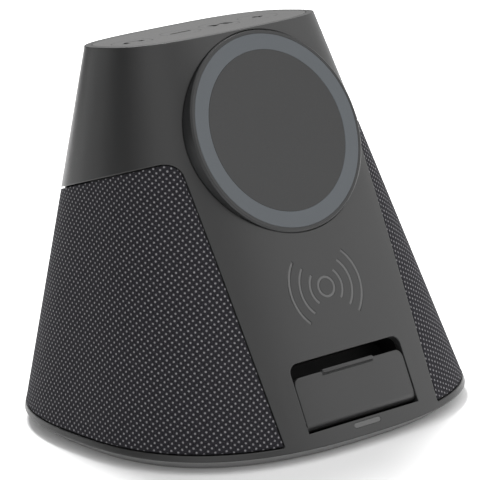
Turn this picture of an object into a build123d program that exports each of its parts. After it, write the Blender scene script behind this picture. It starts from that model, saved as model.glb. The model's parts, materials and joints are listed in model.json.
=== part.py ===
from build123d import *
from math import atan, cos, degrees, pi, radians, sin, tan
import os

# Desktop speakerphone: a body that narrows upwards, a round phone charging pad in its leaning front,
# a fold-out phone ledge in a recess below it, cloth grilles left and right and four keys on top.
# Millimetres. Origin on the table under the middle of the base, +Z up, the front faces -Y.

os.makedirs("parts", exist_ok=True)

# ---- driving dimensions ----
# the body's two outlines: superellipses at the base seam and at the sloping top face
SEAM_Z = 3.6
BASE_HALF_WIDTH = 64.6
BASE_HALF_DEPTH = 56.1
BASE_POWER = 2.57
TOP_HALF_WIDTH = 36.2
TOP_HALF_DEPTH = 20.9
TOP_POWER = 3.03
TOP_Y = 15.8
TOP_Z = 112.0
TOP_TILT = 7.7
OUTLINE_STEPS = 24
WALL = 2.2
HAIRLINE = 0.12

# base cover and foot
COVER_TOP_Z = 3.58
COVER_BOTTOM_Z = 0.3
COVER_BEVEL = 4.5
FOOT_THICKNESS = 1.4
FOOT_LENGTH = 108.0
FOOT_DEPTH = 92.0
FOOT_CORNER = 38.0
FOOT_WIDTH = 9.0

# top plate and keys
RIM = 2.0
PLATE_THICKNESS = 1.8
SHELF_WIDTH = 1.1
DECK_DEPTH = 3.7
KEY_X = {"key_call": -26.0, "key_minus": -7.9, "key_play": 6.8, "key_plus": 21.6}
KEY_RADIUS = 6.0
KEY_GAP = 0.08
KEY_FLANGE = 0.6
ICON_DEPTH = 0.3
ICON_STROKE = 1.0
KEY_BOARD_DEPTH = 6.0

# grilles
GRILLE_BOTTOM_Z = 5.2
GRILLE_TOP_Z = 83.2
GRILLE_TOP_Y = -14.0
GRILLE_TOP_TILT = 17.5
PANEL_HALF_WIDTH_LOW = 29.4
PANEL_HALF_WIDTH_HIGH = 33.35
GRILLE_TOP_RADIUS = 5.0
GRILLE_FOOT_RADIUS = 0.7
CLOTH_SET_BACK = 0.15
CLOTH_BACK = 0.9
FRAME_FRONT = 1.1
FRAME_BACK = 3.1

# charging pad, measured on the leaning front panel
PAD_UP = 91.4
PAD_PROUD = 0.3
PAD_RADIUS = 30.4
RING_OUTER = 29.0
RING_INNER = 24.2
PAD_FACE_THICKNESS = 1.2
CUP_DEPTH = 8.6
CUP_FLOOR = 1.6
SEAT_THICKNESS = 1.9
COLLAR_WIDTH = 2.0

# recess and ledge, measured up the front panel from the seam
RECESS_LOW = 4.9
RECESS_HIGH = 25.2
RECESS_HALF_WIDTH = 21.1
RECESS_CORNER = 2.8
TRAY_FRONT = 3.6
TRAY_DEPTH = 11.0
TRAY_WALL = 1.2
TRAY_FLOOR_Z = 5.1
HINGE_UP = 7.4
HINGE_IN = 2.5
KNUCKLE_RADIUS = 2.2
LEDGE_HIGH = 21.1
LEDGE_SIDE_GAP = 0.35
LEDGE_THICKNESS = 3.0
LEDGE_SET_BACK = 0.25
LEDGE_CORNER = 2.4
LIP_LENGTH = 19.5
LIP_X = -0.9
LIP_HEIGHT = 1.1
PIN_RADIUS = 0.75

# status light and charging mark
LIGHT_X = -0.4
LIGHT_UP = 3.34
LIGHT_LENGTH = 10.0
LIGHT_HEIGHT = 1.5
MARK_UP = 44.1
MARK_RADII = (2.85, 5.85, 9.45, 13.0)
MARK_STROKE = 0.7
MARK_HALF_ANGLE = 45
MARK_DEPTH = 0.3

# loudspeakers
BAFFLE_INSET = 8.5
BAFFLE_THICKNESS = 2.5
DRIVER_Z = 46.0
DRIVER_Y = 6.0
DRIVER_RADIUS = 21.0
CONE_RADIUS = 15.2

# boards and cells
CELL_RADIUS = 9.2
CELL_LENGTH = 65.0
CELL_Y = 14.0
CELL_BOTTOM_Z = 14.4
MAIN_BOARD_Z = 8.0
BOARD = 1.2
PORT_Z = 10.9
BOSS_RADIUS = 3.0
BOSS_HEIGHT = 14.0
MICROPHONE_X = 18.0
MICROPHONE_Z = 92.0

FAR = 200.0


# ---- the body's surface ----
def outline_point(angle, half_width, half_depth, power):
    """Point of a superellipse in the direction that angle has on its unit shape."""
    across, along = cos(angle), sin(angle)
    reach = (abs(across) ** power + abs(along) ** power) ** (-1 / power)
    return half_width * reach * across, half_depth * reach * along


def body_ring(level, inset, lift=0.0):
    """Closed curve round the body: level 0 at the base seam, 1 at the top face, moved in by inset."""
    points = []
    for step in range(OUTLINE_STEPS):
        angle = 2 * pi * step / OUTLINE_STEPS
        bx, by = outline_point(angle, BASE_HALF_WIDTH - inset, BASE_HALF_DEPTH - inset, BASE_POWER)
        tx, ty = outline_point(angle, TOP_HALF_WIDTH - inset, TOP_HALF_DEPTH - inset, TOP_POWER)
        top_z = TOP_Z - ty * tan(radians(TOP_TILT))
        points.append(
            Vector(
                bx + (tx - bx) * level,
                by + (ty + TOP_Y - by) * level,
                SEAM_Z + (top_z - SEAM_Z) * level + lift,
            )
        )
    evenly = [step / OUTLINE_STEPS for step in range(OUTLINE_STEPS + 1)]
    return Wire([Edge.make_spline(points, periodic=True, parameters=evenly)])


def body(inset=0.0):
    """The whole body, moved in by inset, with flat ends at the seam and the top face."""
    return Solid.make_loft([body_ring(0, inset), body_ring(1, inset)], ruled=True)


def skin(outer_inset, inner_inset):
    return body(outer_inset) - body(inner_inset)


FRONT_TOP_Y = TOP_Y - TOP_HALF_DEPTH
FRONT_TOP_Z = TOP_Z + TOP_HALF_DEPTH * tan(radians(TOP_TILT))
PANEL_TILT = degrees(atan((FRONT_TOP_Y + BASE_HALF_DEPTH) / (FRONT_TOP_Z - SEAM_Z)))
SIDE_LEAN = degrees(atan((BASE_HALF_WIDTH - TOP_HALF_WIDTH) / (TOP_Z - SEAM_Z)))
REAR_LEAN = degrees(atan((BASE_HALF_DEPTH - TOP_Y - TOP_HALF_DEPTH) / (TOP_Z - SEAM_Z)))

# front panel: local X to the right, local Y up the slope from the seam, local Z out of the panel
PANEL = Plane(
    origin=(0, -BASE_HALF_DEPTH, SEAM_Z),
    x_dir=(1, 0, 0),
    z_dir=(0, -cos(radians(PANEL_TILT)), sin(radians(PANEL_TILT))),
)
# top face: local Y to the back, local Z out of the face
TOP = Plane(
    origin=(0, TOP_Y, TOP_Z),
    x_dir=(1, 0, 0),
    z_dir=(0, sin(radians(TOP_TILT)), cos(radians(TOP_TILT))),
)


def on_panel(shape, up=0.0, out=0.0):
    return PANEL * Pos(0, up, out) * shape


def on_top(shape, x=0.0, y=0.0, depth=0.0):
    return TOP * Pos(x, y, -depth) * shape


def disc(radius, low, high):
    """Cylinder round local Z between two heights."""
    return Pos(0, 0, (low + high) / 2) * Cylinder(radius, high - low)


def tube(outer, inner, low, high):
    return disc(outer, low, high) - disc(inner, low - 1, high + 1)


def block(x0, x1, y0, y1, z0, z1):
    centre = Pos((x0 + x1) / 2, (y0 + y1) / 2, (z0 + z1) / 2)
    return centre * Box(x1 - x0, y1 - y0, z1 - z0)


def above(z):
    return block(-FAR, FAR, -FAR, FAR, z, z + FAR)


def below_top(depth):
    return on_top(block(-FAR, FAR, -FAR, FAR, -FAR, -depth))


def top_prism(inset, from_depth, to_depth):
    """Straight prism down from the top face, its outline moved in by inset."""
    points = []
    for step in range(OUTLINE_STEPS):
        angle = 2 * pi * step / OUTLINE_STEPS
        x, y = outline_point(angle, TOP_HALF_WIDTH - inset, TOP_HALF_DEPTH - inset, TOP_POWER)
        points.append(Vector(x, y / cos(radians(TOP_TILT)), -to_depth))
    face = Face(Wire([Edge.make_spline(points, periodic=True)]))
    return TOP * Solid.extrude(face, Vector(0, 0, to_depth - from_depth))


def rounded_bar(length, height, thickness):
    """Flat bar with fully round ends, centred, thickness along local Z."""
    return extrude(SlotOverall(length, height), thickness / 2, both=True)


def side_plane(side, inset, z, y=DRIVER_Y):
    """Plane parallel to the left (-1) or right (1) flank, inset from it, local Z outwards."""
    lean = radians(SIDE_LEAN)
    flank_x = BASE_HALF_WIDTH - (z - SEAM_Z) * tan(lean)
    return Plane(
        origin=(side * (flank_x - inset / cos(lean)), y, z),
        x_dir=(0, side, 0),
        z_dir=(side * cos(lean), 0, sin(lean)),
    )


def both_sides(maker):
    return {"left": maker(-1), "right": maker(1)}


def single(shape):
    """One solid, or a compound of the solids that a boolean left."""
    solids = shape.solids()
    return solids[0] if len(solids) == 1 else Compound(solids)


# ---- openings in the shell ----
def grille_window(side, gap=0.0):
    """Region of a grille: beside the front and rear panels, above the base ring, under the slope."""
    rise = GRILLE_TOP_Z - GRILLE_BOTTOM_Z
    flare = (PANEL_HALF_WIDTH_HIGH - PANEL_HALF_WIDTH_LOW) / rise
    low_z = GRILLE_BOTTOM_Z + gap
    high_z = GRILLE_TOP_Z + 60
    edge_low = PANEL_HALF_WIDTH_LOW + gap
    edge_high = edge_low + flare * (high_z - low_z)
    outline = Polyline((edge_low, low_z), (FAR, low_z), (FAR, high_z), (edge_high, high_z), close=True)
    region = extrude(Plane.XZ * make_face(outline), FAR, both=True)
    tilt = radians(GRILLE_TOP_TILT)
    slope = Plane(
        origin=(0, GRILLE_TOP_Y, GRILLE_TOP_Z - gap),
        x_dir=(1, 0, 0),
        z_dir=(0, sin(tilt), cos(tilt)),
    )
    region = region & (slope * block(-FAR, FAR, -FAR, FAR, -FAR, 0))
    inner_face = region.faces().sort_by(Axis.X)[0]
    edges = inner_face.edges().filter_by(lambda edge: abs((edge @ 0 - edge @ 1).Y) > FAR / 2)
    edges = edges.sort_by(Axis.Z)
    region = fillet([edges[0]], GRILLE_FOOT_RADIUS - gap)
    inner_face = region.faces().filter_by(GeomType.PLANE).sort_by(Axis.X)[0]
    edges = inner_face.edges().filter_by(lambda edge: abs((edge @ 0 - edge @ 1).Y) > FAR / 2)
    region = fillet([edges.sort_by(Axis.Z)[-1]], GRILLE_TOP_RADIUS - gap)
    return region if side > 0 else mirror(region, Plane.YZ)


def recess_prism(depth, grow=0.0):
    """Straight prism of the recess outline, through the panel and depth behind it."""
    half = RECESS_HALF_WIDTH + grow
    low = RECESS_LOW - grow
    high = RECESS_HIGH + grow
    prism = block(-half, half, low, high, -depth, 6)
    corners = prism.edges().filter_by(Axis.Z).group_by(Axis.Y)[-1]
    prism = PANEL * fillet(corners, RECESS_CORNER + grow)
    return prism & above(TRAY_FLOOR_Z - grow)


def panel_sag(x, up):
    """How far the front panel curves back at x, from its centre line, at a height up the slope."""
    level = up * cos(radians(PANEL_TILT)) / (FRONT_TOP_Z - SEAM_Z)
    half_width = BASE_HALF_WIDTH + (TOP_HALF_WIDTH - BASE_HALF_WIDTH) * level
    half_depth = BASE_HALF_DEPTH + (TOP_HALF_DEPTH - BASE_HALF_DEPTH) * level
    power = BASE_POWER + (TOP_POWER - BASE_POWER) * level
    shape_y = (1 - (x / half_width) ** power) ** (1 / power)
    return half_depth * (1 - shape_y) * cos(radians(PANEL_TILT))


def mark_shapes(grow, lift):
    """Circle with three arcs on either side, let into the front panel; lift raises their tops."""
    shapes = []
    for radius in MARK_RADII:
        half_stroke = MARK_STROKE / 2 + grow
        top = -panel_sag(radius, MARK_UP) - 0.02 + lift
        low = -panel_sag(radius, MARK_UP) - MARK_DEPTH - grow
        band = tube(radius + half_stroke, radius - half_stroke, low, top)
        if radius == MARK_RADII[0]:
            shapes.append(on_panel(band, MARK_UP))
            continue
        reach = 2 * radius
        spread = reach * tan(radians(MARK_HALF_ANGLE)) + 2 * grow
        for side in (-1, 1):
            corner = side * reach
            wedge_outline = Polyline((0, 0), (corner, -spread), (corner, spread), close=True)
            wedge = extrude(make_face(wedge_outline), 3, both=True)
            shapes.append(on_panel(band & wedge, MARK_UP))
    return shapes


# ---- housing ----
BASE_BOSS_PLACES = [(26.0, -46.0), (-26.0, -46.0), (26.0, 45.0), (-26.0, 45.0)]
BASE_SCREW_RADIUS = 1.05
BASE_SCREW_SEAT_Z = 2.5
PAD_SCREW_ANGLES = (90, 210, 330)
PAD_SCREW_REACH = PAD_RADIUS - 2.7
MAIN_BOARD_PLACES = [(-26.0, 12.0), (26.0, 12.0), (-20.0, 45.0), (20.0, 45.0)]
MAIN_BOARD_POST_RADIUS = 2.6
HOLDER_Z = 12.0
PIN_REACH = RECESS_HALF_WIDTH + TRAY_WALL

# on the rear wall, local Z outwards
MICROPHONE = Plane(
    origin=(MICROPHONE_X, BASE_HALF_DEPTH - (MICROPHONE_Z - SEAM_Z) * tan(radians(REAR_LEAN)), MICROPHONE_Z),
    x_dir=(1, 0, 0),
    z_dir=(0, 1, 0),
)


def hinge_rod(radius, length):
    """Cylinder on the ledge's hinge line."""
    return on_panel(Rot(0, 90, 0) * Cylinder(radius, length), HINGE_UP, -HINGE_IN)


def port_slot(length, height, low_y, high_y):
    slot = extrude(SlotOverall(length, height), (high_y - low_y))
    return Plane(origin=(0, high_y, PORT_Z), x_dir=(1, 0, 0), z_dir=(0, -1, 0)) * slot


def make_housing():
    outer = body()
    cavity = body(WALL) & below_top(DECK_DEPTH)
    shell = outer - cavity
    # collar and seat behind the charging pad
    seat_out = PAD_PROUD - CUP_DEPTH
    collar = tube(PAD_RADIUS + COLLAR_WIDTH, PAD_RADIUS - 4.5, seat_out - SEAT_THICKNESS, 0)
    shell = shell + (on_panel(collar, PAD_UP) & outer)
    for x, y in BASE_BOSS_PLACES:
        shell = shell + (Pos(x, y, SEAM_Z) * disc(BOSS_RADIUS, 0, BOSS_HEIGHT) & outer)
    shell = shell - top_prism(RIM, -1, PLATE_THICKNESS)
    shell = shell - top_prism(RIM + SHELF_WIDTH, 0, DECK_DEPTH + 2)
    shell = shell - on_panel(disc(PAD_RADIUS + HAIRLINE, seat_out, 4), PAD_UP)
    for angle in PAD_SCREW_ANGLES:
        hole = Rot(0, 0, angle) * Pos(PAD_SCREW_REACH, 0, 0) * disc(1.2, -20, 0)
        shell = shell - on_panel(hole, PAD_UP)
    for side in (-1, 1):
        shell = shell - grille_window(side)
    # lining that carries the recess outline back to the flat front of the tray
    lining = recess_prism(TRAY_FRONT, TRAY_WALL) & body(WALL / 2)
    shell = shell + lining - recess_prism(TRAY_DEPTH) - hinge_rod(PIN_RADIUS + 0.02, 2 * PIN_REACH + 0.1)
    light = rounded_bar(LIGHT_LENGTH + 0.1, LIGHT_HEIGHT + 0.1, 8)
    shell = shell - on_panel(Pos(LIGHT_X, 0, 0) * light, LIGHT_UP)
    for x, y in BASE_BOSS_PLACES:
        shell = shell - (Pos(x, y, SEAM_Z) * disc(BASE_SCREW_RADIUS + 0.05, -1, BOSS_HEIGHT - 3))
    shell = shell - port_slot(10.2, 4.4, 51, 60)
    shell = shell - MICROPHONE * disc(0.6, -12, 2)
    for shape in mark_shapes(0.05, 2.0):
        shell = shell - shape
    return single(shell)


def make_mark():
    return Compound([single(shape) for shape in mark_shapes(0, 0)])


def make_light_window():
    window = Pos(LIGHT_X, 0, -0.85) * rounded_bar(LIGHT_LENGTH, LIGHT_HEIGHT, 1.6)
    return single(on_panel(window, LIGHT_UP))


def make_base_cover():
    rim = Solid.make_loft(
        [body_ring(0, COVER_BEVEL, COVER_BOTTOM_Z - SEAM_Z), body_ring(0, 0, COVER_TOP_Z - SEAM_Z)],
        ruled=True,
    )
    groove = foot_ring(HAIRLINE, FOOT_THICKNESS + 0.02)
    cover = rim - groove
    for x, y in BASE_BOSS_PLACES:
        cover = cover - (Pos(x, y, 0) * disc(BASE_SCREW_RADIUS + 0.3, 0, 5))
        cover = cover - (Pos(x, y, 0) * disc(BOSS_RADIUS - 0.4, 0, BASE_SCREW_SEAT_Z))
    for x, y in MAIN_BOARD_PLACES:
        post = disc(MAIN_BOARD_POST_RADIUS, COVER_TOP_Z - 0.5, MAIN_BOARD_Z)
        post = post - disc(1.0, COVER_TOP_Z + 1, MAIN_BOARD_Z + 1)
        cover = cover + Pos(x, y, 0) * post
    for side in (-1, 1):
        cover = cover + block(side * 34.5 - 2, side * 34.5 + 2, 6, 22, COVER_TOP_Z - 0.5, HOLDER_Z)
    return single(cover)


def foot_ring(grow, top_z):
    outer = RectangleRounded(FOOT_LENGTH + 2 * grow, FOOT_DEPTH + 2 * grow, FOOT_CORNER + grow)
    narrower = 2 * (FOOT_WIDTH + grow)
    inner_corner = FOOT_CORNER - FOOT_WIDTH - grow
    inner = RectangleRounded(FOOT_LENGTH - narrower, FOOT_DEPTH - narrower, inner_corner)
    return extrude(outer - inner, top_z)


def make_foot_pad():
    return single(foot_ring(0, FOOT_THICKNESS))


def screw(radius, length, head_radius, head_height):
    """Pan-head screw along local Z: head below zero, shank above."""
    head = disc(head_radius, -head_height, 0) - Pos(0, 0, -head_height) * Box(head_radius, 0.5, 0.8)
    head = head - Pos(0, 0, -head_height) * Box(0.5, head_radius, 0.8)
    return single(head + disc(radius, -0.2, length))


def make_base_screws():
    shape = screw(BASE_SCREW_RADIUS, 9.0, 2.2, 1.0)
    return Compound([Pos(x, y, BASE_SCREW_SEAT_Z) * shape for x, y in BASE_BOSS_PLACES])


# ---- top plate and keys ----
KEY_BOARD_POSTS = [(-17.0, -8.0), (-17.0, 8.0), (14.3, -8.0), (14.3, 8.0)]
KEY_Y = -0.6


def handset_icon():
    """Telephone handset seen from the side: two ends and a bowed handle."""
    handle = tube(3.5, 3.0, -ICON_DEPTH, 1) & block(-4, 4, 1.1, 6, -2, 2)
    ends = [Pos(side * 2.7, 0.9, 0.35) * Box(1.6, 1.9, 1.3) for side in (-1, 1)]
    return Pos(0, -1.8, 0) * (handle + ends[0] + ends[1])


def minus_icon():
    return rounded_bar(7.8, 1.2 * ICON_STROKE, 2 * ICON_DEPTH)


def plus_icon():
    bar = rounded_bar(4.2, ICON_STROKE, 2 * ICON_DEPTH)
    return bar + Rot(0, 0, 90) * bar


def play_icon():
    triangle = extrude(make_face(Polyline((-3.2, -2.2), (0.4, 0), (-3.2, 2.2), close=True)), 1, both=True)
    triangle = triangle & block(-5, 5, -5, 5, -ICON_DEPTH, 1)
    bars = [block(x, x + ICON_STROKE, -2.2, 2.2, -ICON_DEPTH, 1) for x in (1.3, 2.9)]
    return triangle + bars[0] + bars[1]


ICONS = {
    "key_call": handset_icon,
    "key_minus": minus_icon,
    "key_play": play_icon,
    "key_plus": plus_icon,
}


def make_key(name):
    neck = disc(KEY_RADIUS, -PLATE_THICKNESS - 0.3, 0)
    flange = disc(KEY_RADIUS + KEY_FLANGE, -PLATE_THICKNESS - 1.1, -PLATE_THICKNESS - 0.2)
    stem = disc(1.6, -PLATE_THICKNESS - 2.8, -PLATE_THICKNESS - 1)
    key = neck + flange + stem - ICONS[name]()
    return single(on_top(key, KEY_X[name], KEY_Y))


def make_top_plate():
    plate = top_prism(RIM + HAIRLINE, 0, PLATE_THICKNESS)
    for x in KEY_X.values():
        plate = plate - on_top(disc(KEY_RADIUS + KEY_GAP, -4, 1), x, KEY_Y)
    for x, y in KEY_BOARD_POSTS:
        post = disc(1.8, -KEY_BOARD_DEPTH, -PLATE_THICKNESS + 0.2) - disc(0.7, -KEY_BOARD_DEPTH - 1, -3)
        plate = plate + on_top(post, x, y)
    plate = plate - on_panel(disc(PAD_RADIUS + 0.3, -CUP_DEPTH, 4), PAD_UP)
    return single(plate)


def make_key_board():
    board = block(-30, 27, -10.4, 10.4, -KEY_BOARD_DEPTH - 1.0, -KEY_BOARD_DEPTH)
    board = fillet(board.edges().filter_by(Axis.Z), 2)
    for x, y in KEY_BOARD_POSTS:
        board = board - Pos(x, y, 0) * disc(0.9, -10, 0)
    return single(on_top(board))


def make_key_switches():
    switch = block(-1.9, 1.9, -1.9, 1.9, -KEY_BOARD_DEPTH, -KEY_BOARD_DEPTH + 0.6)
    switch = switch + disc(1.0, -KEY_BOARD_DEPTH + 0.5, -KEY_BOARD_DEPTH + 0.85)
    return Compound([single(on_top(switch, x, KEY_Y)) for x in KEY_X.values()])


def make_key_board_screws():
    shapes = []
    for x, y in KEY_BOARD_POSTS:
        shapes.append(on_top(screw(0.65, 3.2, 1.5, 0.9), x, y, KEY_BOARD_DEPTH + 1.0))
    return Compound(shapes)


# ---- grilles ----
def make_grille_frame(side):
    frame = skin(FRAME_FRONT, FRAME_BACK) & grille_window(side, HAIRLINE)
    for row in range(6):
        z = 12 + 11 * row
        for lean in (-52, -18, 18, 52):
            slot = Rot(0, 0, lean) * block(20, FAR, -7, 7, z, z + 7.5)
            if side < 0:
                slot = mirror(slot, Plane.YZ)
            frame = frame - Pos(0, DRIVER_Y, 0) * slot
    return single(frame)


def make_grille_cloth(side):
    return single(skin(CLOTH_SET_BACK, CLOTH_BACK) & grille_window(side, HAIRLINE))


def make_baffle(side):
    plane = side_plane(side, BAFFLE_INSET, DRIVER_Z)
    slab = plane * block(-FAR, FAR, -FAR, FAR, -BAFFLE_THICKNESS, 0)
    room = body(FRAME_BACK + 0.5) & block(-FAR, FAR, -FAR, FAR, COVER_TOP_Z + 0.3, 96)
    baffle = slab & room
    collar_room = disc(PAD_RADIUS + COLLAR_WIDTH + 0.5, -CUP_DEPTH - SEAT_THICKNESS - 2, 4)
    baffle = baffle - on_panel(collar_room, PAD_UP)
    baffle = baffle - plane * disc(DRIVER_RADIUS - 1.6, -10, 10)
    for x, y in driver_screw_places():
        baffle = baffle - plane * Pos(x, y, 0) * disc(0.8, -10, 10)
    return single(baffle)


def driver_screw_places():
    reach = DRIVER_RADIUS * 0.935
    return [(reach * cos(a), reach * sin(a)) for a in (radians(45 + 90 * n) for n in range(4))]


def make_basket(side):
    flange = tube(DRIVER_RADIUS, CONE_RADIUS + 3.4, 0, 1.0)
    hopper = Pos(0, 0, -5) * Cone(12.5, 18.6, 10) - Pos(0, 0, -5) * Cone(11.5, 17.6, 10.01)
    floor = tube(12.5, 9.2, -11, -10)
    rim = tube(18.8, 17.4, -0.8, 0.5)
    basket = flange + hopper + floor + rim
    for number in range(4):
        window = Rot(0, 0, 90 * number) * block(10, 22, -5.5, 5.5, -8.5, -2.2)
        basket = basket - window
    for x, y in driver_screw_places():
        basket = basket - Pos(x, y, 0) * disc(0.95, -2, 3)
    return single(side_plane(side, BAFFLE_INSET, DRIVER_Z) * basket)


def make_driver_magnet(side):
    pot = tube(13.0, 9.4, -19, -11.05) + disc(13.0, -20.5, -18.9)
    pole = disc(7.2, -19, -9.5)
    return single(side_plane(side, BAFFLE_INSET, DRIVER_Z) * (pot + pole))


def make_cone(side):
    skirt = Pos(0, 0, -2) * (Cone(8.6, CONE_RADIUS, 5) - Pos(0, 0, -0.5) * Cone(8.6, CONE_RADIUS, 5))
    former = tube(8.6, 8.2, -14.5, -4.2)
    cap = Pos(0, 0, -4.6) * (Cone(8.7, 6.5, 1.6) - Pos(0, 0, -0.4) * Cone(8.7, 6.5, 1.6))
    cap = cap + disc(6.7, -4.2, -3.8)
    return single(side_plane(side, BAFFLE_INSET, DRIVER_Z) * (skirt + former + cap))


def make_surround(side):
    middle = CONE_RADIUS + 1.9
    roll = Torus(middle, 1.4) - Torus(middle, 1.0)
    roll = roll & disc(30, 0, 5)
    lip = tube(CONE_RADIUS + 3.3, middle + 1.2, 0.0, 0.4)
    return single(side_plane(side, BAFFLE_INSET, DRIVER_Z) * Pos(0, 0, 0.55) * (roll + lip))


def make_driver_screws():
    shapes = []
    for side in (-1, 1):
        for x, y in driver_screw_places():
            place = side_plane(side, BAFFLE_INSET, DRIVER_Z) * Pos(x, y, 1.0) * Rot(180, 0, 0)
            shapes.append(place * screw(0.75, 3.4, 1.3, 0.8))
    return Compound(shapes)


# ---- charging pad ----
def make_pad_cup():
    back = PAD_PROUD - CUP_DEPTH
    cup = disc(PAD_RADIUS, back, PAD_PROUD)
    cup = chamfer(cup.edges().group_by(Axis.Z)[-1], 0.5)
    cup = cup - disc(RING_OUTER + 0.05, back + CUP_FLOOR, PAD_PROUD + 1)
    cup = cup + tube(RING_OUTER + 0.2, RING_OUTER - 2.4, back + 1, PAD_PROUD - PAD_FACE_THICKNESS)
    for angle in PAD_SCREW_ANGLES:
        boss = Rot(0, 0, angle) * Pos(PAD_SCREW_REACH, 0, 0) * disc(0.85, back - 1, back + 4.5)
        cup = cup - boss
    lead_hole = Pos(0, -14, 0) * disc(2.5, back - 1, back + CUP_FLOOR + 1)
    cup = cup - lead_hole
    return single(on_panel(cup, PAD_UP) - top_prism(RIM - 0.2, -1, PLATE_THICKNESS + 0.2))


def make_pad_face():
    return single(on_panel(disc(RING_INNER, PAD_PROUD - PAD_FACE_THICKNESS, PAD_PROUD), PAD_UP))


def make_pad_ring():
    ring = tube(RING_OUTER, RING_INNER + 0.05, PAD_PROUD - PAD_FACE_THICKNESS, PAD_PROUD)
    return single(on_panel(ring, PAD_UP))


def make_align_magnets():
    high = PAD_PROUD - PAD_FACE_THICKNESS - 0.05
    count = 16
    piece = tube(26.2, 23.0, high - 1.8, high)
    spread = 40 * tan(radians(180 / count - 0.8))
    wedge = extrude(make_face(Polyline((0, 0), (40, -spread), (40, spread), close=True)), 20, both=True)
    segment = piece & wedge
    return Compound([single(on_panel(Rot(0, 0, 360 * n / count) * segment, PAD_UP)) for n in range(count)])


def pad_layer(outer, inner, drop, thickness):
    """Ring or disc inside the pad: its top lies drop below the underside of the face."""
    high = PAD_PROUD - PAD_FACE_THICKNESS - drop
    shape = disc(outer, high - thickness, high)
    if inner:
        shape = shape - disc(inner, high - thickness - 1, high + 1)
    return single(on_panel(shape, PAD_UP))


def make_pad_screws():
    shapes = []
    seat = PAD_PROUD - CUP_DEPTH - SEAT_THICKNESS
    for angle in PAD_SCREW_ANGLES:
        place = Rot(0, 0, angle) * Pos(PAD_SCREW_REACH, 0, seat)
        shapes.append(on_panel(place * screw(0.8, 5.5, 1.9, 1.2), PAD_UP))
    return Compound(shapes)


# ---- recess and ledge ----
def make_tray():
    outer = block(
        -RECESS_HALF_WIDTH - TRAY_WALL,
        RECESS_HALF_WIDTH + TRAY_WALL,
        RECESS_LOW - TRAY_WALL,
        RECESS_HIGH + TRAY_WALL,
        -TRAY_DEPTH - TRAY_WALL,
        -TRAY_FRONT - 0.02,
    )
    tray = (PANEL * outer & above(TRAY_FLOOR_Z - TRAY_WALL)) - recess_prism(TRAY_DEPTH)
    return single(tray)


def make_ledge():
    half = RECESS_HALF_WIDTH - LEDGE_SIDE_GAP
    plate = block(-half, half, HINGE_UP, LEDGE_HIGH, -LEDGE_SET_BACK - LEDGE_THICKNESS, 3)
    corners = plate.edges().filter_by(Axis.Z).group_by(Axis.Y)[-1]
    plate = fillet(corners, LEDGE_CORNER)
    lip = Pos(LIP_X, LEDGE_HIGH - 0.1, -0.65) * rounded_bar(LIP_LENGTH, LIP_HEIGHT, 1.5)
    leaf = (PANEL * plate + hinge_rod(KNUCKLE_RADIUS, 2 * half)) & body(LEDGE_SET_BACK)
    leaf = leaf + PANEL * lip - hinge_rod(PIN_RADIUS + 0.05, 3 * half)
    return single(leaf)


def make_hinge_pin():
    return single(hinge_rod(PIN_RADIUS, 2 * PIN_REACH))


def make_hinge_washers():
    shapes = []
    for side in (-1, 1):
        washer = Rot(0, 90, 0) * tube(1.5, PIN_RADIUS + 0.03, -0.12, 0.12)
        place = Pos(side * (RECESS_HALF_WIDTH - LEDGE_SIDE_GAP / 2), HINGE_UP, -HINGE_IN)
        shapes.append(single(PANEL * place * washer))
    return Compound(shapes)


def make_light_board():
    board = block(-9, 9, 1.6, 3.6, -3.2, -2.4)
    diode = block(-3.5, 3.5, 2.8, 3.5, -2.45, -1.9)
    return single(on_panel(board + diode))


# ---- electronics and cells ----
# centre x, centre y, width, depth
MAIN_BOARD_CHIPS = [
    (-14, 16, 9, 9),
    (2, 18, 12, 12),
    (17, 20, 6, 6),
    (-16, 31, 7, 7),
    (-4, 34, 5, 5),
    (12, 34, 8, 6),
]


def make_main_board():
    board = block(-30, 30, 8, 49, MAIN_BOARD_Z, MAIN_BOARD_Z + BOARD)
    board = fillet(board.edges().filter_by(Axis.Z), 3)
    for x, y in MAIN_BOARD_PLACES:
        board = board - Pos(x, y, 0) * disc(1.25, 0, 20)
    for x, y in BASE_BOSS_PLACES:
        board = board - Pos(x, y, 0) * disc(3.5, 0, 20)
    return single(board)


def make_board_chips():
    top = MAIN_BOARD_Z + BOARD
    chips = []
    for x, y, width, depth in MAIN_BOARD_CHIPS:
        half_width, half_depth = width / 2, depth / 2
        chips.append(block(x - half_width, x + half_width, y - half_depth, y + half_depth, top, top + 1.1))
    return Compound(chips)


def make_main_board_screws():
    shapes = []
    for x, y in MAIN_BOARD_PLACES:
        shapes.append(Pos(x, y, MAIN_BOARD_Z + BOARD) * Rot(180, 0, 0) * screw(0.95, 3.6, 1.9, 1.2))
    return Compound(shapes)


def make_usb_receptacle():
    length = 7.4
    front_y = 53.6
    shell = port_slot(8.94, 3.26, front_y - length, front_y) - port_slot(8.34, 2.66, front_y - length + 1, 60)
    tongue = block(-3.35, 3.35, front_y - length + 0.5, front_y - 1.0, PORT_Z - 0.35, PORT_Z + 0.35)
    return single(shell + tongue)


def make_battery_holder():
    low = HOLDER_Z
    roof = CELL_BOTTOM_Z + CELL_LENGTH + 0.3
    floor = block(-36.5, 36.5, 6, 22, low, low + 2)
    back = block(-19.5, 19.5, 23.6, 25.6, low, roof + 2)
    sill = block(-19.5, 19.5, 6, 25.6, low, low + 2)
    lid = block(-19.5, 19.5, 4.5, 25.6, roof, roof + 2)
    holder = floor + sill + back + lid
    holder = holder - Pos(0, 25, 45) * Box(16, 8, 30)
    return single(holder)


def make_cell(side):
    cell = disc(CELL_RADIUS, 0, CELL_LENGTH - 1) + disc(3, CELL_LENGTH - 1.1, CELL_LENGTH)
    return single(Pos(side * (CELL_RADIUS + 0.2), CELL_Y, CELL_BOTTOM_Z) * cell)


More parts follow.
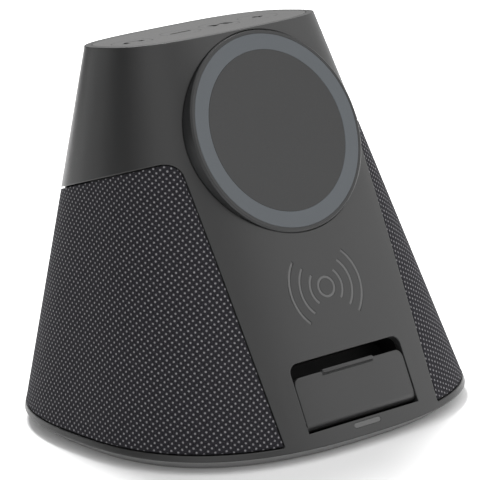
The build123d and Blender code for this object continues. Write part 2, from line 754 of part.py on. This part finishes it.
def make_power_board():
    board = block(-17, 17, 26.0, 27.2, 18, 70)
    return single(fillet(board.edges().filter_by(Axis.Y), 2))


def make_power_parts():
    inductor = block(-12, -2, 27.2, 31.7, 24, 34)
    capacitors = [Pos(x, 30.7, 28) * Rot(90, 0, 0) * Cylinder(3.1, 7) for x in (4.5, 11.5)]
    chips = [block(x - 3, x + 3, 27.2, 28.3, z - 3, z + 3) for x in (-8, 8) for z in (44, 58)]
    return Compound([inductor] + [single(part) for part in capacitors] + chips)


def make_microphone():
    return single(MICROPHONE * block(-3, 3, -2.2, 2.2, -8.2, -5.4))


def make_speaker_leads():
    """Two pairs of leads, from the power board to the drivers' rear terminals."""
    shapes = []
    for side in (-1, 1):
        for offset in (0.0, 2.0):
            start = Vector(side * 14, 29.5 + offset / 2, 50 + offset)
            turn = Vector(side * 30, 31, 49 + offset)
            end = Vector(side * 35.5, 21.5, 46 + offset)
            path = FilletPolyline(start, turn, end, radius=5)
            section = Plane(origin=start, z_dir=turn - start) * Circle(0.5)
            shapes.append(single(sweep(section, path=path)))
    return Compound(shapes)


# ---- write every piece ----
def all_parts():
    parts = {
        "housing_shell": make_housing(),
        "charge_mark": make_mark(),
        "light_window": make_light_window(),
        "light_board": make_light_board(),
        "base_cover": make_base_cover(),
        "base_screws": make_base_screws(),
        "foot_pad": make_foot_pad(),
        "top_plate": make_top_plate(),
        "key_board": make_key_board(),
        "key_switches": make_key_switches(),
        "key_board_screws": make_key_board_screws(),
        "microphone": make_microphone(),
        "driver_screws": make_driver_screws(),
        "pad_cup": make_pad_cup(),
        "pad_face": make_pad_face(),
        "pad_ring": make_pad_ring(),
        "align_magnets": make_align_magnets(),
        "magnet_keeper": pad_layer(26.2, 23.0, 1.95, 0.5),
        "charge_coil": pad_layer(21.6, 10.5, 0.1, 1.3),
        "ferrite_disc": pad_layer(22.6, 0, 1.5, 0.8),
        "charge_board": pad_layer(26.2, 0, 2.6, 1.0),
        "pad_screws": make_pad_screws(),
        "ledge_tray": make_tray(),
        "ledge": make_ledge(),
        "hinge_pin": make_hinge_pin(),
        "hinge_washers": make_hinge_washers(),
        "main_board": make_main_board(),
        "main_board_chips": make_board_chips(),
        "main_board_screws": make_main_board_screws(),
        "usb_receptacle": make_usb_receptacle(),
        "battery_holder": make_battery_holder(),
        "power_board": make_power_board(),
        "power_board_parts": make_power_parts(),
        "speaker_leads": make_speaker_leads(),
    }
    for name in KEY_X:
        parts[name] = make_key(name)
    makers = {
        "grille_frame": make_grille_frame,
        "grille_cloth": make_grille_cloth,
        "baffle": make_baffle,
        "driver_basket": make_basket,
        "driver_magnet": make_driver_magnet,
        "driver_cone": make_cone,
        "driver_surround": make_surround,
        "battery_cell": make_cell,
    }
    for stem, maker in makers.items():
        for side, shape in both_sides(maker).items():
            parts[f"{stem}_{side}"] = shape
    return parts


for name, shape in all_parts().items():
    export_step(shape, f"parts/{name}.step")
    print(name, round(shape.volume, 1))
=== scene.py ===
import json
import math

import bpy
from mathutils import Matrix, Vector


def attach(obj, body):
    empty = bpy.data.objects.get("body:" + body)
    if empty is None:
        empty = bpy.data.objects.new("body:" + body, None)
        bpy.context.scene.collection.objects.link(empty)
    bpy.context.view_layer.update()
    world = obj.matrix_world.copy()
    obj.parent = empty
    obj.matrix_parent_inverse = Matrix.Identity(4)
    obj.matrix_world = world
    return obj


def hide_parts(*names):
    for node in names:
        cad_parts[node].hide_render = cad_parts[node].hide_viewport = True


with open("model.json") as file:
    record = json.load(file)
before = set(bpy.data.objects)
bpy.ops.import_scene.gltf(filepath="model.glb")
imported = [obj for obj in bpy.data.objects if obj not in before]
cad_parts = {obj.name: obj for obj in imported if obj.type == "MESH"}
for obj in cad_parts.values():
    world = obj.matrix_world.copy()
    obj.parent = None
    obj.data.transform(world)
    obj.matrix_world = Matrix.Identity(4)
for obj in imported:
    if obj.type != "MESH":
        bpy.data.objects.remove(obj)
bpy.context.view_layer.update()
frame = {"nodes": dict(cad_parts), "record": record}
NODES = frame["nodes"]
MM = 0.001

# ---- the body's outlines, as the CAD model has them, in millimetres ----
SEAM_Z = 3.6
# half width, half depth and power of the outline at the seam and at the top
BASE = (64.6, 56.1, 2.57)
TOP = (36.2, 20.9, 3.03)
TOP_Y = 15.8
TOP_Z = 112.0
TOP_TILT = 7.7
TOP_FALL = math.tan(math.radians(TOP_TILT))
GRILLE_BOTTOM_Z = 5.2
GRILLE_TOP_Z = 83.2
GRILLE_TOP_Y = -14.0
GRILLE_TOP_TILT = 17.5
GRILLE_TOP_FALL = math.tan(math.radians(GRILLE_TOP_TILT))
PANEL_HALF_LOW = 29.4
PANEL_HALF_HIGH = 33.35


def outline(angle, half_width, half_depth, power):
    """Point of a superellipse in the direction of an angle."""
    across, along = math.cos(angle), math.sin(angle)
    reach = (abs(across) ** power + abs(along) ** power) ** (-1 / power)
    return half_width * reach * across, half_depth * reach * along


def skin_point(angle, z, inset=0.0):
    """Point of the body's outside at a height, moved in by inset, in millimetres."""
    bx, by = outline(angle, BASE[0] - inset, BASE[1] - inset, BASE[2])
    tx, ty = outline(angle, TOP[0] - inset, TOP[1] - inset, TOP[2])
    level = (z - SEAM_Z) / (TOP_Z - ty * TOP_FALL - SEAM_Z)
    return Vector((bx + (tx - bx) * level, by + (ty + TOP_Y - by) * level, z))


# ---- mesh helpers ----
def mesh_object(name, points, faces, uvs=None, smooth=True):
    """points in millimetres; uvs is one pair for each point."""
    mesh = bpy.data.meshes.new(name)
    mesh.from_pydata([Vector(p) * MM for p in points], [], faces)
    if uvs:
        layer = mesh.uv_layers.new(name="weave")
        for loop in mesh.loops:
            layer.data[loop.index].uv = uvs[loop.vertex_index]
    mesh.polygons.foreach_set("use_smooth", [smooth] * len(mesh.polygons))
    mesh.update()
    made = bpy.data.objects.new(name, mesh)
    bpy.context.scene.collection.objects.link(made)
    return made


def grid_faces(rows, columns, flip=False):
    """Four-sided faces of a sheet whose points are stored row after row."""
    faces = []
    for row in range(rows - 1):
        for column in range(columns - 1):
            corner = row * columns + column
            face = (corner, corner + 1, corner + columns + 1, corner + columns)
            faces.append(face[::-1] if flip else face)
    return faces


# ---- material helpers ----
GRAIN_SCALE = 2600
GRAIN_DEPTH = 0.00004
SHADE_SCALE = 45
SHADE_DARK, SHADE_LIGHT = 0.93, 1.07


class Nodes:
    """Short way to add and join shader nodes."""

    def __init__(self, name):
        self.material = bpy.data.materials.new(name)
        self.material.use_nodes = True
        self.tree = self.material.node_tree
        self.shader = self.tree.nodes["Principled BSDF"]

    def add(self, kind, settings=None, **inputs):
        made = self.tree.nodes.new(kind)
        for key, value in (settings or {}).items():
            setattr(made, key, value)
        for key, value in inputs.items():
            socket = made.inputs[int(key[1:])] if key[0] == "_" else made.inputs[key]
            if isinstance(value, bpy.types.NodeSocket):
                self.tree.links.new(value, socket)
            else:
                socket.default_value = value
        return made

    def math(self, operation, first, second=0.0):
        return self.add("ShaderNodeMath", {"operation": operation}, _0=first, _1=second).outputs[0]

    def vector(self, operation, first, second):
        made = self.add("ShaderNodeVectorMath", {"operation": operation}, _0=first, _1=second)
        return made.outputs

    def mix(self, factor, first, second):
        made = self.add("ShaderNodeMix", {"data_type": "RGBA"}, _0=factor, _6=first, _7=second)
        return made.outputs[2]

    def ramp(self, value, low, high, first=0.0, second=1.0):
        made = self.add(
            "ShaderNodeMapRange", {"clamp": True}, _0=value, _1=low, _2=high, _3=first, _4=second
        )
        return made.outputs[0]

    def noise(self, scale, detail=3.0, vector=None, roughness=0.5):
        if vector is None:
            vector = self.object_place()
        made = self.add(
            "ShaderNodeTexNoise", Vector=vector, Scale=scale, Detail=detail, Roughness=roughness
        )
        return made.outputs[0]

    def object_place(self):
        return self.add("ShaderNodeTexCoord").outputs["Object"]

    def bump(self, height, strength, distance, edge=0.0):
        """Fine relief; edge is the radius in metres by which sharp edges look broken."""
        made = self.add("ShaderNodeBump", Strength=strength, Distance=distance, Height=height)
        if edge:
            rounding = self.add("ShaderNodeBevel", {"samples": 6}, Radius=edge)
            self.tree.links.new(rounding.outputs[0], made.inputs["Normal"])
        self.tree.links.new(made.outputs[0], self.shader.inputs["Normal"])

    def set(self, **sockets):
        """Feeds the shader; an underscore in a name stands for a space."""
        for key, value in sockets.items():
            socket = self.shader.inputs[key.replace("_", " ")]
            if isinstance(value, bpy.types.NodeSocket):
                self.tree.links.new(value, socket)
            else:
                socket.default_value = value


def grey(value, warm=0.0):
    """Linear colour a little warmer (+) or cooler (-) than neutral."""
    return (value * (1 + warm), value, value * (1 - warm), 1.0)


def shaded(colour, factor):
    """The colour made darker or lighter, opaque."""
    return tuple(channel * factor for channel in colour[:3]) + (1.0,)


def plastic(name, colour, roughness, grain=0.35, specular=0.5, edge=0.0003):
    """Moulded plastic: fine spark-eroded grain, slight unevenness in shade and gloss."""
    made = Nodes(name)
    fine = made.noise(GRAIN_SCALE, 2.0)
    broad = made.noise(SHADE_SCALE)
    made.set(
        Base_Color=made.mix(broad, shaded(colour, SHADE_DARK), shaded(colour, SHADE_LIGHT)),
        Roughness=made.ramp(fine, 0.3, 0.7, roughness - 0.05, roughness + 0.06),
    )
    made.shader.inputs["Specular IOR Level"].default_value = specular
    made.bump(fine, grain, GRAIN_DEPTH, edge)
    return made.material


# depth below the top, in millimetres, where the paint in a key's mark begins and where it covers
PAINT_BEGINS, PAINT_COVERS = 0.08, 0.16
PAINT_COLOUR = grey(0.004)
TOP_GREY_DARK = grey(0.039, 0.012)
TOP_GREY_LIGHT = grey(0.046, 0.012)


def key_material():
    """Soft-touch key whose engraved mark is filled with dark paint."""
    made = Nodes("key soft touch")
    fine = made.noise(GRAIN_SCALE, 2.0)
    place = made.object_place()
    tilt = math.radians(TOP_TILT)
    normal = (0.0, math.sin(tilt), math.cos(tilt))
    from_top = made.vector("SUBTRACT", place, (0, TOP_Y * MM, TOP_Z * MM))[0]
    height = made.vector("DOT_PRODUCT", from_top, normal)["Value"]
    paint = made.ramp(height, -PAINT_BEGINS * MM, -PAINT_COVERS * MM)
    skin = made.mix(made.noise(SHADE_SCALE), TOP_GREY_DARK, TOP_GREY_LIGHT)
    made.set(
        Base_Color=made.mix(paint, skin, PAINT_COLOUR),
        Roughness=made.ramp(fine, 0.3, 0.7, 0.6, 0.71),
    )
    made.shader.inputs["Specular IOR Level"].default_value = 0.25
    made.bump(fine, 0.5, GRAIN_DEPTH)
    return made.material


BRUSH_SCALE = (400, 9000, 9000)


def metal(name, colour, roughness):
    """Metal with fine lines drawn along x."""
    made = Nodes(name)
    stretch = made.add("ShaderNodeMapping", _0=made.object_place(), _3=BRUSH_SCALE)
    lines = made.noise(1.0, 3.0, stretch.outputs[0])
    made.set(
        Base_Color=made.mix(lines, shaded(colour, 0.85), colour),
        Roughness=made.ramp(lines, 0.3, 0.7, roughness - 0.08, roughness + 0.1),
    )
    made.shader.inputs["Metallic"].default_value = 1.0
    made.bump(lines, 0.2, 0.00002)
    return made.material


# pitches and wander in millimetres of the flat cut, noise scales per millimetre, relief in metres
WEAVE_PITCH = 2.06
THREAD_PITCH = 0.26
WANDER_SCALE = 0.55
WANDER = 0.22
FIBRE_SCALE = 2.4
THREAD_RELIEF = 0.12
WEAVE_RELIEF = 0.00025
# values of the weave's wave between which a light crossing fades in
CROSSING_EDGE = (0.42, 0.86)
YARN_SHADOW = (0.004, 0.004, 0.005, 1)
YARN_DARK = (0.008, 0.0075, 0.01, 1)
YARN_LIT = (0.06, 0.057, 0.068, 1)
CROSSING_DARK = (0.13, 0.127, 0.137, 1)
CROSSING_LIT = (0.31, 0.305, 0.318, 1)


def cloth_material():
    """Two-tone basket weave: light crossings on the diagonals of a dark yarn ground."""
    made = Nodes("grille cloth weave")
    uv = made.add("ShaderNodeUVMap", {"uv_map": "weave"}).outputs[0]
    # uneven yarns: the lattice wanders a little
    wander = made.add("ShaderNodeTexNoise", Vector=uv, Scale=WANDER_SCALE, Detail=2.0)
    centred = made.vector("SUBTRACT", wander.outputs[1], (0.5, 0.5, 0.5))[0]
    shift = made.add("ShaderNodeVectorMath", {"operation": "SCALE"}, _0=centred, _3=WANDER)
    moved = made.vector("ADD", uv, shift.outputs[0])[0]
    split = made.add("ShaderNodeSeparateXYZ", _0=moved)

    def wave(kind, axis, pitch):
        return made.math(kind, made.math("MULTIPLY", split.outputs[axis], 2 * math.pi / pitch))

    # the product of the two waves peaks at every crossing of a diagonal lattice
    product = made.math("MULTIPLY", wave("COSINE", 0, WEAVE_PITCH), wave("COSINE", 1, WEAVE_PITCH))
    dot = made.ramp(product, *CROSSING_EDGE)
    # finer threads, several to a crossing
    threads = made.math("MULTIPLY", wave("SINE", 0, THREAD_PITCH), wave("SINE", 1, THREAD_PITCH))
    fibre = made.ramp(made.noise(FIBRE_SCALE, 4.0, uv, 0.7), 0.32, 0.68)
    ground = made.mix(made.ramp(threads, -1, 1), YARN_DARK, YARN_LIT)
    ground = made.mix(fibre, YARN_SHADOW, ground)
    light = made.mix(fibre, CROSSING_DARK, CROSSING_LIT)
    made.set(Base_Color=made.mix(dot, ground, light), Roughness=0.85)
    made.shader.inputs["Specular IOR Level"].default_value = 0.15
    fine = made.math("MULTIPLY", threads, THREAD_RELIEF)
    height = made.math("ADD", made.ramp(product, -1, 1), fine)
    made.bump(height, 0.8, WEAVE_RELIEF)
    return made.material


# ---- cloth grilles ----
CORNER_RADIUS = 5.0
# gap between the cloth and the edge of its opening, depth below the skin, depth of a turned ring
CLOTH_GAP = 0.48
CLOTH_INSET = 0.1
TURN_DEPTH = 0.25
CLOTH_ROWS, CLOTH_COLUMNS = 110, 190
# the flank is unrolled as a cone about this apex
CLOTH_APEX_Z = 209.0
CLOTH_SLANT = math.cos(math.radians(18))
HALVINGS = 40
SETTLING_STEPS = 25
SETTLING_SHARE = 0.6


def panel_edge_angle(z, side, rear):
    """Angle at which the body's outside crosses the grille's straight edge at a height."""
    flare = (PANEL_HALF_HIGH - PANEL_HALF_LOW) / (GRILLE_TOP_Z - GRILLE_BOTTOM_Z)
    edge_x = PANEL_HALF_LOW + CLOTH_GAP + flare * (z - GRILLE_BOTTOM_Z)
    low, high = 0.0, math.pi / 2
    for _ in range(HALVINGS):
        middle = (low + high) / 2
        angle = middle if rear else -middle
        if skin_point(angle, z).x > edge_x:
            low = middle
        else:
            high = middle
    angle = low if rear else -low
    return angle if side > 0 else math.pi - angle


def unrolled(point, arc):
    """Place in the cloth's flat cut of a point arc millimetres along its row from mid flank."""
    reach = (CLOTH_APEX_Z - point.z) / CLOTH_SLANT
    return reach * math.sin(arc / reach), -reach * math.cos(arc / reach)


def column_tops(side, columns):
    """Height at which each column of the cloth ends, on the sloping edge less its round corners."""
    tops = []
    for column in range(columns):
        share = column / (columns - 1)
        top = GRILLE_TOP_Z
        # settles by steps, because the edge's ends move as its height does
        for _ in range(SETTLING_STEPS):
            front, rear = panel_edge_angle(top, side, False), panel_edge_angle(top, side, True)
            point = skin_point(front + (rear - front) * share, top)
            edge_point = skin_point(front if share < 0.5 else rear, top)
            slope_z = GRILLE_TOP_Z - CLOTH_GAP - GRILLE_TOP_FALL * (point.y - GRILLE_TOP_Y)
            away = (point - edge_point).length
            drop = 0.0
            if away < CORNER_RADIUS:
                drop = CORNER_RADIUS - math.sqrt(CORNER_RADIUS**2 - (CORNER_RADIUS - away) ** 2)
            top += SETTLING_SHARE * (slope_z - drop - top)
        tops.append(top)
    return tops


def grille_cloth(side):
    name = "left" if side < 0 else "right"
    rows, columns = CLOTH_ROWS, CLOTH_COLUMNS
    bottom_z = GRILLE_BOTTOM_Z + CLOTH_GAP
    tops = column_tops(side, columns)
    points = []
    for row in range(rows):
        height = row / (rows - 1)
        for column in range(columns):
            share = column / (columns - 1)
            z = bottom_z + (tops[column] - bottom_z) * height
            front, rear = panel_edge_angle(z, side, False), panel_edge_angle(z, side, True)
            points.append(skin_point(front + (rear - front) * share, z, CLOTH_INSET))
    middle = min(range(columns), key=lambda c: abs(points[c].y))
    uvs = []
    for row in range(rows):
        line = points[row * columns : (row + 1) * columns]
        arc = [0.0]
        for column in range(1, columns):
            arc.append(arc[-1] + (line[column] - line[column - 1]).length)
        uvs.extend(unrolled(line[c], arc[c] - arc[middle]) for c in range(columns))
    faces = grid_faces(rows, columns, flip=side < 0)
    # turned edge: the border goes down into the gap in three rings
    border = list(range(columns))
    border += [r * columns + columns - 1 for r in range(1, rows)]
    border += [(rows - 1) * columns + c for c in range(columns - 2, -1, -1)]
    border += [r * columns for r in range(rows - 2, 0, -1)]
    previous = border
    for step in (1, 2, 3):
        depth = TURN_DEPTH * step
        ring = []
        for index in border:
            here = points[index]
            inward = (Vector((0, TOP_Y * here.z / TOP_Z, here.z)) - here).normalized()
            ring.append(len(points))
            points.append(here + inward * depth)
            uvs.append(uvs[index])
        count = len(border)
        for i in range(count):
            j = (i + 1) % count
            face = (previous[i], ring[i], ring[j], previous[j])
            faces.append(face[::-1] if side < 0 else face)
        previous = ring
    made = mesh_object(f"cloth_{name}", points, faces, uvs)
    made.data.materials.append(CLOTH)
    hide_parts(f"grille_cloth_{name}")
    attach(made, "housing")


CLOTH = cloth_material()
for side in (-1, 1):
    grille_cloth(side)

# ---- materials of the CAD nodes ----
HOUSING = plastic("housing plastic", grey(0.027, -0.005), 0.34, edge=0.0005)
# light grey, far lighter than the housing's, set to the brightness that the base's bevel shows in
# the white floor's light
BASE_PLASTIC = plastic("base plastic", grey(0.17), 0.42, specular=0.6, edge=0.0)
TOP_SKIN = plastic("top soft touch", grey(0.0425, 0.012), 0.65, 0.5, specular=0.25)
KEY_SKIN = key_material()
PAD_SKIN = plastic("pad silicone", grey(0.03, -0.01), 0.55, 0.5, specular=0.45)
RING_SKIN = plastic("ring silicone", grey(0.095, -0.1), 0.55, 0.5, specular=0.45)
CUP_PLASTIC = plastic("cup plastic", grey(0.018, -0.03), 0.4)
TRAY_PLASTIC = plastic("tray plastic", grey(0.006), 0.6, specular=0.2)
MARK_PRINT = plastic("mark print", grey(0.11), 0.6, edge=0.0)
LIGHT_PLASTIC = plastic("light window", grey(0.1), 0.35)
RUBBER = plastic("foot rubber", grey(0.02), 0.8, 0.8, edge=0.0)
BLACK = plastic("inner plastic", grey(0.008), 0.6, edge=0.0)
BOARD = plastic("board", (0.01, 0.08, 0.03, 1), 0.3, edge=0.0)
CHIP = plastic("chip", grey(0.015), 0.4, edge=0.0)
SLEEVE = plastic("cell sleeve", (0.03, 0.09, 0.25, 1), 0.3, edge=0.0)
LEAD = plastic("lead", (0.25, 0.01, 0.01, 1), 0.4, edge=0.0)
PAPER = plastic("cone paper", grey(0.02), 0.8, 1.0, edge=0.0)
FERRITE = plastic("ferrite", grey(0.03), 0.7, 1.0, edge=0.0)
STEEL = metal("steel", (0.5, 0.5, 0.5, 1), 0.3)
NICKEL = metal("nickel", (0.62, 0.6, 0.57, 1), 0.2)
COPPER = metal("copper", (0.75, 0.38, 0.2, 1), 0.35)

BY_SLOT = {
    "housing": HOUSING, "mark": MARK_PRINT, "light": LIGHT_PLASTIC, "board": BOARD,
    "base": BASE_PLASTIC, "screw": STEEL, "foot": RUBBER, "top": TOP_SKIN, "key": KEY_SKIN,
    "switch": NICKEL, "mic": NICKEL, "cup": CUP_PLASTIC, "pad_face": PAD_SKIN,
    "pad_ring": RING_SKIN, "magnet": NICKEL, "steel": STEEL, "copper": COPPER,
    "ferrite": FERRITE, "tray": TRAY_PLASTIC, "ledge": HOUSING, "chip": CHIP, "usb": NICKEL,
    "holder": BLACK, "cell": SLEEVE, "lead": LEAD, "frame": BLACK, "cloth": CLOTH,
    "baffle": BLACK, "basket": BLACK, "cone": PAPER, "surround": RUBBER,
}
for part in frame["record"]["subparts"]:
    slots = NODES[part["node"]].data.materials
    slots.clear()
    slots.append(BY_SLOT[part["material_slot"]])
# the record's slot for the washers is steel; they are shown black as painted shade, standing in for
# the shade of the gap they sit in
NODES["hinge_washers"].data.materials[0] = BLACK


# ---- ledge: front face that follows the panel, rolled under along its foot ----
FRONT_TOP_Z = TOP_Z + TOP[1] * TOP_FALL
PANEL_TILT = math.atan((TOP_Y - TOP[1] + BASE[1]) / (FRONT_TOP_Z - SEAM_Z))
LEDGE_HALF = 20.75
LEDGE_LOW = 5.35
LEDGE_HIGH = 21.1
LEDGE_SET_BACK = 0.25
LEDGE_BACK = 3.25
LEDGE_CORNER = 2.4
LEDGE_ROLL = 2.7
# height that the round of the ledge's top edge takes
LEDGE_BREAK = 0.3
LEDGE_STATIONS = 121
LEDGE_STEPS = 64
# share of the stations' spacing that crowds them towards the ledge's ends
LEDGE_CROWDING = 0.35
# height up the panel and depth behind it of points round the hinge's barrel
BARREL = ((9.3, 3.25), (8.6, 4.3), (7.4, 4.7), (6.5, 4.65), (5.8, 4.45))
LIP_X = -0.9
LIP_LENGTH = 19.5
LIP_HEIGHT = 1.1
LIP_UP = LEDGE_HIGH - 0.1
LIP_STEPS = 40
# depth of each ring of the lip and how far it is drawn in
LIP_RINGS = ((1.4, 0.0), (0.12, 0.0), (-0.02, 0.06), (-0.1, 0.22))
GROOVE_HEIGHT = 0.42
GROOVE_DEPTH = 0.35


def on_panel(x, up, inward):
    """Point in millimetres from places measured on the leaning front panel."""
    tilt = PANEL_TILT
    return Vector((
        x,
        -BASE[1] + up * math.sin(tilt) + inward * math.cos(tilt),
        SEAM_Z + up * math.cos(tilt) - inward * math.sin(tilt),
    ))


def panel_sag(x, up):
    """How far the front panel curves back at x."""
    level = up * math.cos(PANEL_TILT) / (FRONT_TOP_Z - SEAM_Z)
    half_width, half_depth, power = (low + (high - low) * level for low, high in zip(BASE, TOP))
    reach = (1 - (abs(x) / half_width) ** power) ** (1 / power)
    return half_depth * (1 - reach) * math.cos(PANEL_TILT)


def ledge_front(x, up):
    """Depth of the ledge's face: set back, rolled under at its foot, grooved below the lip."""
    depth = LEDGE_SET_BACK + panel_sag(x, up)
    rise = LEDGE_LOW + LEDGE_ROLL - up
    if rise > 0:
        depth += LEDGE_ROLL - math.sqrt(max(LEDGE_ROLL**2 - rise**2, 0.0))
    groove_top = LIP_UP - LIP_HEIGHT / 2 + 0.02
    if groove_top - GROOVE_HEIGHT < up < groove_top and abs(x - LIP_X) < LIP_LENGTH / 2 - 0.2:
        depth += GROOVE_DEPTH
    return depth


def ledge_profile(x):
    """Closed section of the ledge at x: pairs of height up the panel and depth behind it."""
    over = max(abs(x) - (LEDGE_HALF - LEDGE_CORNER), 0.0)
    high = LEDGE_HIGH - LEDGE_CORNER + math.sqrt(max(LEDGE_CORNER**2 - over**2, 0.0))
    share = (high - LEDGE_BREAK - LEDGE_LOW) / (LEDGE_HIGH - LEDGE_BREAK - LEDGE_LOW)
    section = []
    for step in range(LEDGE_STEPS):
        up = LEDGE_LOW + (LEDGE_HIGH - LEDGE_BREAK - LEDGE_LOW) * step / (LEDGE_STEPS - 1)
        section.append((LEDGE_LOW + (up - LEDGE_LOW) * share, ledge_front(x, up)))
    face = ledge_front(x, high)
    section += [(high - 0.09, face + 0.09), (high, face + LEDGE_BREAK), (high, LEDGE_BACK)]
    section.extend(BARREL)
    return section


def ledge():
    stations = LEDGE_STATIONS
    points, faces = [], []
    for station in range(stations):
        x = -LEDGE_HALF * math.cos(math.pi * station / (stations - 1)) * LEDGE_CROWDING
        x += LEDGE_HALF * (2 * station / (stations - 1) - 1) * (1 - LEDGE_CROWDING)
        section = ledge_profile(x)
        count = len(section)
        points += [on_panel(x, up, depth) for up, depth in section]
    for station in range(stations - 1):
        for number in range(count):
            following = (number + 1) % count
            a, b = station * count + number, station * count + following
            faces.append((a, a + count, b + count, b))
    faces.append(tuple(range(count)))
    faces.append(tuple(range(len(points) - 1, len(points) - 1 - count, -1)))
    # lip: a bar with round ends, its top edge broken
    around = LIP_STEPS
    first = len(points)
    for depth, inset in LIP_RINGS:
        radius = LIP_HEIGHT / 2 - inset
        for step in range(around):
            turn = 2 * math.pi * (step + 0.5) / around
            end = (LIP_LENGTH - LIP_HEIGHT) / 2 * (1 if math.cos(turn) > 0 else -1)
            x = LIP_X + end + radius * math.cos(turn)
            points.append(on_panel(x, LIP_UP + radius * math.sin(turn), depth))
    levels = len(LIP_RINGS) - 1
    for level in range(levels):
        for step in range(around):
            following = (step + 1) % around
            a, b = first + level * around + step, first + level * around + following
            faces.append((a, b, b + around, a + around))
    faces.append(tuple(first + levels * around + step for step in range(around)))
    faces.append(tuple(first + step for step in range(around - 1, -1, -1)))
    made = mesh_object("ledge_leaf_face", points, faces)
    made.data.materials.append(HOUSING)
    made.modifiers.new("sharp edges", "EDGE_SPLIT").split_angle = math.radians(35)
    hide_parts("ledge")
    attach(made, "ledge_leaf")


ledge()

# ---- studio ----
KEY_PLACE = (0.42, 0.92, 1.25)
KEY_TARGET = (0, 0, 0.03)
KEY_SIZE = 0.5
KEY_POWER = 37
FLOOR_RADIUS = 900.0
FLOOR_STEPS = 96
FLOOR_GREY = 0.8
FLOOR_GLOW = 0.08


def key_light():
    data = bpy.data.lights.new("key", "AREA")
    data.energy = KEY_POWER
    data.size = KEY_SIZE
    made = bpy.data.objects.new("key", data)
    made.location = KEY_PLACE
    aim = Vector(KEY_TARGET) - Vector(KEY_PLACE)
    made.rotation_euler = aim.to_track_quat("-Z", "Y").to_euler()
    bpy.context.scene.collection.objects.link(made)


def floor():
    turns = [2 * math.pi * step / FLOOR_STEPS for step in range(FLOOR_STEPS)]
    points = [(FLOOR_RADIUS * math.cos(turn), FLOOR_RADIUS * math.sin(turn), 0) for turn in turns]
    made = mesh_object("floor", points, [tuple(range(FLOOR_STEPS))], smooth=False)
    paint = Nodes("floor paint")
    paint.set(Base_Color=grey(FLOOR_GREY), Roughness=0.6)
    paint.shader.inputs["Emission Color"].default_value = (1, 1, 1, 1)
    paint.shader.inputs["Emission Strength"].default_value = FLOOR_GLOW
    made.data.materials.append(paint.material)


class Sky:
    """World whose brightness is a base level with soft patches added to it or shaded out of it."""

    def __init__(self, level):
        self.world = bpy.data.worlds.new("studio")
        self.world.use_nodes = True
        self.tree = self.world.node_tree
        self.ray = self.tree.nodes.new("ShaderNodeTexCoord").outputs["Generated"]
        self.strength = self.value(level)

    def value(self, number):
        made = self.tree.nodes.new("ShaderNodeValue")
        made.outputs[0].default_value = number
        return made.outputs[0]

    def patch(self, azimuth, height, wide, narrow, low, high):
        """low further than wide degrees from a direction, high nearer than narrow degrees."""
        azimuth, height = math.radians(azimuth), math.radians(height)
        dot = self.tree.nodes.new("ShaderNodeVectorMath")
        dot.operation = "DOT_PRODUCT"
        self.tree.links.new(self.ray, dot.inputs[0])
        across = math.cos(height)
        centre = (across * math.cos(azimuth), across * math.sin(azimuth), math.sin(height))
        dot.inputs[1].default_value = centre
        ranged = self.tree.nodes.new("ShaderNodeMapRange")
        ranged.interpolation_type = "SMOOTHSTEP"
        self.tree.links.new(dot.outputs["Value"], ranged.inputs[0])
        limits = (math.cos(math.radians(wide)), math.cos(math.radians(narrow)), low, high)
        for number, value in enumerate(limits, start=1):
            ranged.inputs[number].default_value = value
        return ranged.outputs[0]

    def combine(self, operation, other):
        made = self.tree.nodes.new("ShaderNodeMath")
        made.operation = operation
        self.tree.links.new(self.strength, made.inputs[0])
        self.tree.links.new(other, made.inputs[1])
        self.strength = made.outputs[0]

    def finish(self):
        background = self.tree.nodes["Background"]
        background.inputs[0].default_value = (1, 1, 1, 1)
        self.tree.links.new(self.strength, background.inputs[1])
        bpy.context.scene.world = self.world


SKY_LEVEL = 0.84
# operation, azimuth, height, outer and inner radius in degrees, value outside and inside
SKY_PATCHES = (
    ("ADD", -52, 24, 45, 12, 0.0, 0.55),  # soft box in front, to the right
    ("ADD", 0, 90, 60, 20, 0.0, 0.6),  # soft box overhead
    ("MULTIPLY", 130, 5, 85, 45, 1.0, 0.3),  # dark surround behind, to the left
    ("ADD", 117, 0, 11, 5, 0.0, 0.95),  # narrow bright strip behind
    ("MULTIPLY", 149, 8, 25, 18, 1.0, 0.03),  # black flag beside the strip
    ("MULTIPLY", 70, 0, 40, 28, 1.0, 0.2),  # flag behind, to the right
    ("MULTIPLY", -86, 26, 24, 6, 1.0, 0.45),  # dip straight in front
)


def studio_sky():
    sky = Sky(SKY_LEVEL)
    for operation, *patch in SKY_PATCHES:
        sky.combine(operation, sky.patch(*patch))
    sky.finish()


floor()
studio_sky()
key_light()
bpy.context.scene.view_settings.view_transform = "Standard"

# ---- camera ----
# yaw, drop and roll in degrees
CAMERA_ANGLES = (39.62, 15.454, 1.851)
CAMERA_PLACE = (-0.6158, -0.74334, 0.3172)
CAMERA_SENSOR = 36
CAMERA_LENS = 254.2


def set_camera():
    yaw, drop, roll = (math.radians(angle) for angle in CAMERA_ANGLES)
    level = math.cos(drop)
    ahead = Vector((math.sin(yaw) * level, math.cos(yaw) * level, -math.sin(drop)))
    right = Vector((math.cos(yaw), -math.sin(yaw), 0))
    up = right.cross(ahead)
    rolled_right = right * math.cos(roll) - up * math.sin(roll)
    rolled_up = right * math.sin(roll) + up * math.cos(roll)
    data = bpy.data.cameras.new("camera")
    data.sensor_width = CAMERA_SENSOR
    data.lens = CAMERA_LENS
    made = bpy.data.objects.new("camera", data)
    turn = Matrix((rolled_right, rolled_up, -ahead)).transposed().to_4x4()
    made.matrix_world = Matrix.Translation(Vector(CAMERA_PLACE)) @ turn
    bpy.context.scene.collection.objects.link(made)
    bpy.context.scene.camera = made


set_camera()
